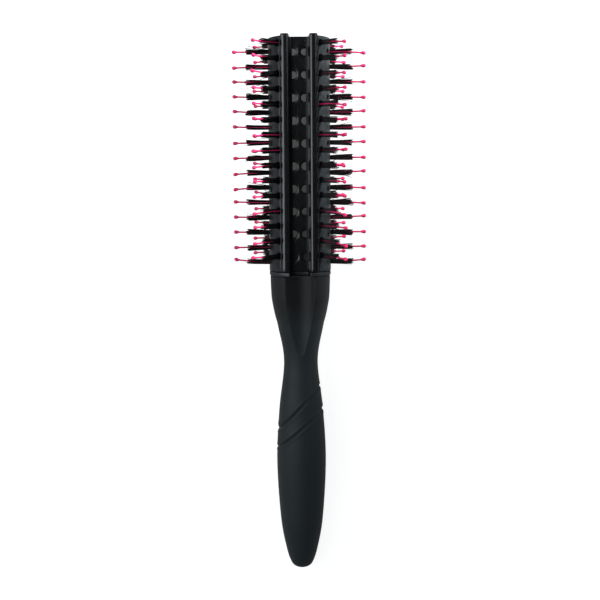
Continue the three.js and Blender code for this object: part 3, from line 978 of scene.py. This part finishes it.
@dataclass
class TuftRow:
    """One row: a carrier behind the shell with fifteen bundles of bristle, and their pins."""

    axis: BrushAxis
    side: Side
    row: Row
    strands: int = 40
    root_radius: float = 1.0
    flare: float = 1.4
    parting: float = 0.42
    lean: float = 0.22
    jitter: float = 0.16
    stray: float = 0.9
    stray_share: float = 0.05
    uneven: float = 0.28
    bow: float = 0.12
    root_reach: float = 11.9
    tip_reach: float = 24.6
    strand_radius: float = 0.15
    overhang: float = 1.4
    carrier: tuple[float, float, float] = (11.4, 12.6, 1.3)
    backbone: tuple[float, float, float] = (9.9, 11.1, 0.8)
    pin_root: float = 10.6
    pin_radius: float = 0.38
    ball_radius: float = 0.88
    ball_reach: float = 30.25
    neck: float = 1.9
    pin_reach: float = 31.25
    pin_length: float = 17.0
    pin_spread: tuple[float, float] = (0.4, 0.55)
    pin_lean: float = 0.5
    blush_start: float = 24.0
    blush_span: float = 6.0

    @property
    def label(self) -> str:
        """The row's part of its CAD nodes' names."""
        return f"{self.side.name.lower()}_{self.row.name.lower()}"

    def random(self, salt: int) -> np.random.Generator:
        """Seeded random numbers of this row."""
        return np.random.default_rng([list(Row).index(self.row), self.side.value + 1, salt])

    def parted(self, root: np.ndarray, draw: np.random.Generator) -> np.ndarray:
        """Roots parted by the pin on the side that faces the front channel.

        There y becomes sign(y) sqrt(y^2 + p^2), with p the parting's half width in that bundle.
        Most bundles stay nearly closed, and only a few show the pin all the way down.
        """
        facing = np.clip(-self.side.value * root[..., 0] / self.root_radius + 0.25, 0, 1)
        half = self.parting * draw.uniform(0.1, 1, (TUFT_COUNT, 1)) ** 3 * np.sqrt(facing)
        y = np.copysign(np.hypot(root[..., 1], half), root[..., 1])
        return np.stack([root[..., 0], y], -1)

    def bristles(self) -> Patch:
        """Bundles: strands on a sunflower disc that flare outwards, with a few strays.

        A strand's root is at r = R sqrt(k / n), turned by the golden angle. Its tip is the root
        times the flare, plus a lean of the whole bundle and a jitter of its own, and its line
        bows between them.
        """
        draw = self.random(1)
        count, tufts = self.strands, TUFT_COUNT
        disc = np.arange(count) + 0.5
        reach = self.root_radius * np.sqrt(disc / count)
        turn = disc * math.pi * (3 - math.sqrt(5)) + draw.uniform(0, 2 * math.pi, (tufts, 1))
        root = self.parted(np.stack([reach * np.cos(turn), reach * np.sin(turn)], -1), draw)
        flare = self.flare * draw.normal(1, 0.1, (tufts, 1, 1))
        lean = draw.normal(0, self.lean, (tufts, 1, 2))
        stray = (draw.uniform(size=(tufts, count, 1)) < self.stray_share) * self.stray + self.jitter
        tip = root * flare + lean + draw.normal(0, 1, (tufts, count, 2)) * stray
        slope = draw.normal(0, 0.35, (tufts, 1, 2))
        top = self.tip_reach + (root * slope).sum(-1) + draw.normal(0, self.uneven, (tufts, count))
        t = np.linspace(0, 1, 5)
        bow = draw.normal(0, self.bow, (tufts, count, 1, 2)) * (np.sin(math.pi * t) * t)[:, None]
        spread = t[:, None] ** 1.5
        flat = root[:, :, None] + (tip - root)[:, :, None] * spread + bow
        flat[..., 1] += self.row.stations[:, None, None]
        height = self.root_reach + (top - self.root_reach)[:, :, None] * t
        centres = at_height(flat, height).reshape(-1, len(t), 3)
        taper = np.array([1, 1, 1, 0.95, 0.72])
        radii = self.strand_radius * taper * draw.uniform(0.8, 1.15, (len(centres), 1))
        tone = np.repeat(draw.uniform(0, 1, (len(centres), 1)) ** 2, len(t), 1)
        return tubes_along(centres, radii, 5, tone)

    def bar(self, floor: float, crown: float, half: float) -> Patch:
        """Flat strip behind the shell, closed, from a little before the row to a little after."""
        first, last = self.row.stations[0] - self.overhang, self.row.stations[-1] + self.overhang
        section = np.array([(-half, floor), (half, floor), (half, crown), (-half, crown)])
        middle = section.mean(0)
        rows = [(first, middle), (first, section), (last, section), (last, middle)]
        grid = np.stack([at_station(np.broadcast_to(flat, section.shape), place) for place, flat in rows])
        return Patch.grid(grid, wrap=True)

    def pins(self) -> Patch:
        """Ball-tipped pins: a straight shaft that thickens into a drop, each slightly bent.

        The bend b grows with the square of the height above the barrel, and lowers the pin by
        b^2 / 2l, with l its length. The ball is a circle's profile, r = R sqrt(1 - h^2), drawn
        out towards the shaft by a cosine neck.
        """
        draw = self.random(2)
        top = self.pin_reach - self.ball_reach
        shaft = np.linspace(self.pin_root, self.ball_reach - self.neck, 9)
        neck = np.linspace(self.ball_reach - self.neck, self.ball_reach, 7)[1:]
        cap = self.ball_reach + top * np.sin(np.linspace(0, math.pi / 2, 7))[1:-1]
        height = np.concatenate([shaft, neck, cap])
        blend = np.clip((height - self.ball_reach) / self.neck + 1, 0, 1)
        swell = (self.ball_radius - self.pin_radius) * (1 - np.cos(math.pi * blend)) / 2
        radius = self.pin_radius + swell
        over = np.clip((height - self.ball_reach) / top, 0, 1)
        radius = radius * np.sqrt(1 - over**2)
        lift = np.clip((height - BARREL_RADIUS) / (self.pin_reach - BARREL_RADIUS), 0, None)
        outwards = (self.pin_lean * self.side.value, 0)
        bend = draw.normal(0, 1, (TUFT_COUNT, 1, 2)) * self.pin_spread - outwards
        if (self.side, self.row) == (Side.RIGHT, Row.FRONT):
            bend[[0, 1, 3], 0, 1] = (-0.9, -2.0, -1.7)  # knocked over towards the grip in use
        bent = bend * (lift**2)[None, :, None]
        drop = (bent**2).sum(-1) / (2 * self.pin_length)
        flat = bent + np.stack([np.zeros(TUFT_COUNT), self.row.stations], -1)[:, None]
        centres = at_height(flat, height[None] - drop)
        blush = np.clip((height - self.blush_start) / self.blush_span, 0, 1)
        tone = np.repeat(blush[None], TUFT_COUNT, 0)
        return tubes_along(centres, np.repeat(radius[None], TUFT_COUNT, 0), 12, tone)

    def build(self) -> None:
        """The row's bristle piece and its pin piece."""
        for name, node, parts, finish, sharp in (
            ("bristles", "bristle_strip", [self.bristles(), self.bar(*self.carrier)], BRISTLE, 35),
            ("pins", "pin_strip", [self.pins(), self.bar(*self.backbone)], PIN_NYLON, 60),
        ):
            patch = Patch.joined(parts)
            patch.points = standing(patch.points, self.side.value * self.row.angle)
            piece = build_object(f"{name}_{self.label}", patch, self.axis, finish.build(), sharp)
            adopt(piece, finish, f"{node}_{self.label}")


# ---------------------------------------------------------------- kept nodes, studio


def dress_kept_nodes() -> None:
    """Give the frame's own core, web and plug their finish."""
    for name in ("handle_core", "spine_web", "end_plug"):
        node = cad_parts[name]
        node.data.materials.clear()
        node.data.materials.append(PLAIN_ABS.build())
        LOG.info("%s: kept from the frame", name)


@dataclass
class Studio:
    """White light table in a dim room, with soft lights at the sides."""

    axis: BrushAxis
    distance: float = 0.660
    lens: float = 83.4
    looked_at: float = 130.2
    roll: float = 0.44
    spin: float = -0.3
    aside: float = -0.22
    shade_half: float = 0.0045
    shade_soft: float = 0.0033
    glow: float = 0.82
    room_light: float = 0.035
    tint: tuple[float, float, float] = (0.9, 0.97, 1.0)
    room_shown: float = 0.9

    def floor(self) -> None:
        """White acrylic table that glows towards the viewer, with a painted shadow along the brush.

        The painted shadow is a soft dark strip along the axis, in place of the brush's own contact
        shadow: the glow falls to nothing where the distance from the axis is under shade_half.
        """
        half = 3.0
        mesh = bpy.data.meshes.new("light_table")
        corners = [(-half, -half, 0), (half, -half, 0), (half, half, 0), (-half, half, 0)]
        mesh.from_pydata(corners, [], [(0, 1, 2, 3)])
        made = bpy.data.materials.new("acrylic_white_lit")
        made.use_nodes = True
        tree = made.node_tree
        shader = tree.nodes["Principled BSDF"]
        shader.inputs["Roughness"].default_value = 0.6
        shader.inputs["Emission Color"].default_value = linear("ffffff")
        place = add_node(tree, "ShaderNodeTexCoord").outputs["Object"]
        apart = add_node(tree, "ShaderNodeSeparateXYZ", links={"Vector": place})
        low, high = self.axis.point(0, 14, 0).y, self.axis.point(0, BARREL_END - 3, 0).y
        nearest = add_node(tree, "ShaderNodeClamp", {"Min": low, "Max": high}, {"Value": apart.outputs["Y"]})
        past = add_node(tree, "ShaderNodeMath", links={0: apart.outputs["Y"], 1: nearest.outputs[0]},
                        operation="SUBTRACT")
        gap = add_node(tree, "ShaderNodeCombineXYZ", links={"X": apart.outputs["X"], "Y": past.outputs[0]})
        reach = add_node(tree, "ShaderNodeVectorMath", links={0: gap.outputs[0]}, operation="LENGTH")
        clear = add_node(tree, "ShaderNodeMapRange", {
            "From Min": self.shade_half, "From Max": self.shade_half + self.shade_soft,
        }, {"Value": reach.outputs["Value"]}, interpolation_type="SMOOTHSTEP").outputs["Result"]
        # Painted shadow: the table's colour is grey in the strip and paler outside it, and its glow is cut
        # there too.
        tone = add_node(tree, "ShaderNodeValToRGB", links={"Fac": clear})
        tone.color_ramp.elements[0].color = linear("444444")
        tone.color_ramp.elements[1].color = linear("969696")
        tree.links.new(tone.outputs["Color"], shader.inputs["Base Color"])
        seen = add_node(tree, "ShaderNodeLightPath").outputs["Is Camera Ray"]
        glow = add_node(tree, "ShaderNodeMath", {1: self.glow}, {0: clear}, operation="MULTIPLY")
        shown = add_node(tree, "ShaderNodeMath", links={0: glow.outputs[0], 1: seen}, operation="MULTIPLY")
        tree.links.new(shown.outputs[0], shader.inputs["Emission Strength"])
        mesh.materials.append(made)
        table = bpy.data.objects.new("light_table", mesh)
        bpy.context.collection.objects.link(table)

    def room(self) -> None:
        """Dim even room light, seen as the pale walls of the room."""
        world = bpy.data.worlds.new("studio_room")
        bpy.context.scene.world = world
        world.use_nodes = True
        tree = world.node_tree
        seen = add_node(tree, "ShaderNodeLightPath").outputs["Is Camera Ray"]
        level = add_node(tree, "ShaderNodeMapRange", {
            "To Min": self.room_light, "To Max": self.room_shown,
        }, {"Value": seen})
        tree.links.new(level.outputs["Result"], tree.nodes["Background"].inputs["Strength"])
        tree.nodes["Background"].inputs["Color"].default_value = linear("ffffff")

    def light(self, name: str, kind: str, place: tuple[float, float, float], power: float,
              target: tuple[float, float, float] = (0, 0, 0)) -> bpy.types.Object:
        """Light of one kind, turned to face a target.

        Args:
            name: object name.
            kind: "AREA" or "SPOT".
            place: position in metres.
            power: watts.
            target: point that it faces, in metres.

        Returns:
            The light, for its sizes to be set.
        """
        made = bpy.data.objects.new(name, bpy.data.lights.new(name, kind))
        made.data.energy = power
        made.location = place
        made.rotation_euler = (Vector(target) - Vector(place)).to_track_quat("-Z", "Y").to_euler()
        bpy.context.collection.objects.link(made)
        return made

    def lights(self) -> None:
        """Key on the left, faint strip on the right, snooted spot low on the right, lamp overhead."""
        for name, place, power, size in (
            ("key_left", (-0.68, 0.05, 0.72), 6.0, (0.5, 1.2)),
            ("strip_right", (0.85, 0.25, 0.5), 1.4, (0.2, 0.8)),
            ("lamp_overhead", (0.0, 0.05, 1.5), 8.0, (0.3, 0.5)),
        ):
            lamp = self.light(name, "AREA", place, power)
            lamp.data.shape = "RECTANGLE"
            lamp.data.size, lamp.data.size_y = size
            lamp.visible_glossy = name != "lamp_overhead"
            lamp.data.color = self.tint
        snoot = self.light("snoot_right", "SPOT", (0.3, 0.36, 0.1), 34.0, (0.0, 0.11, 0.03))
        snoot.visible_glossy = False
        snoot.data.spot_size = math.radians(27)
        snoot.data.spot_blend = 1.0
        snoot.data.shadow_soft_size = 0.05

    def camera(self) -> None:
        """Camera straight over the brush, turned a little with it."""
        data = bpy.data.cameras.new("camera")
        data.lens = self.lens
        data.sensor_width = 36.0
        camera = bpy.data.objects.new("camera", data)
        target = self.axis.point(self.aside, self.looked_at, 0)
        spin, roll = math.radians(self.spin), math.radians(self.roll)
        back = Vector((math.sin(spin), 0, math.cos(spin)))
        up = Vector((math.sin(roll), math.cos(roll), 0))
        right = up.cross(back).normalized()
        up = back.cross(right)
        turn = Matrix((right, up, back)).transposed().to_4x4()
        camera.matrix_world = Matrix.Translation(target + back * self.distance) @ turn
        bpy.context.collection.objects.link(camera)
        bpy.context.scene.camera = camera

    def build(self) -> None:
        """Floor, room, lights and camera."""
        self.floor()
        self.room()
        self.lights()
        self.camera()
        bpy.context.scene.view_settings.view_transform = "Standard"


def main() -> None:
    """Build every sub-assembly round the frame."""
    logging.basicConfig(level=logging.INFO, format="%(name)s: %(message)s")
    axis = BrushAxis.from_frame()
    Studio(axis).build()
    Grip(axis).build()
    Collar(axis).build()
    Trough(axis).build()
    Flank(axis).build()
    for side in Side:
        for row in Row:
            TuftRow(axis, side, row).build()
    dress_kept_nodes()


if __name__ == "__main__":
    main()
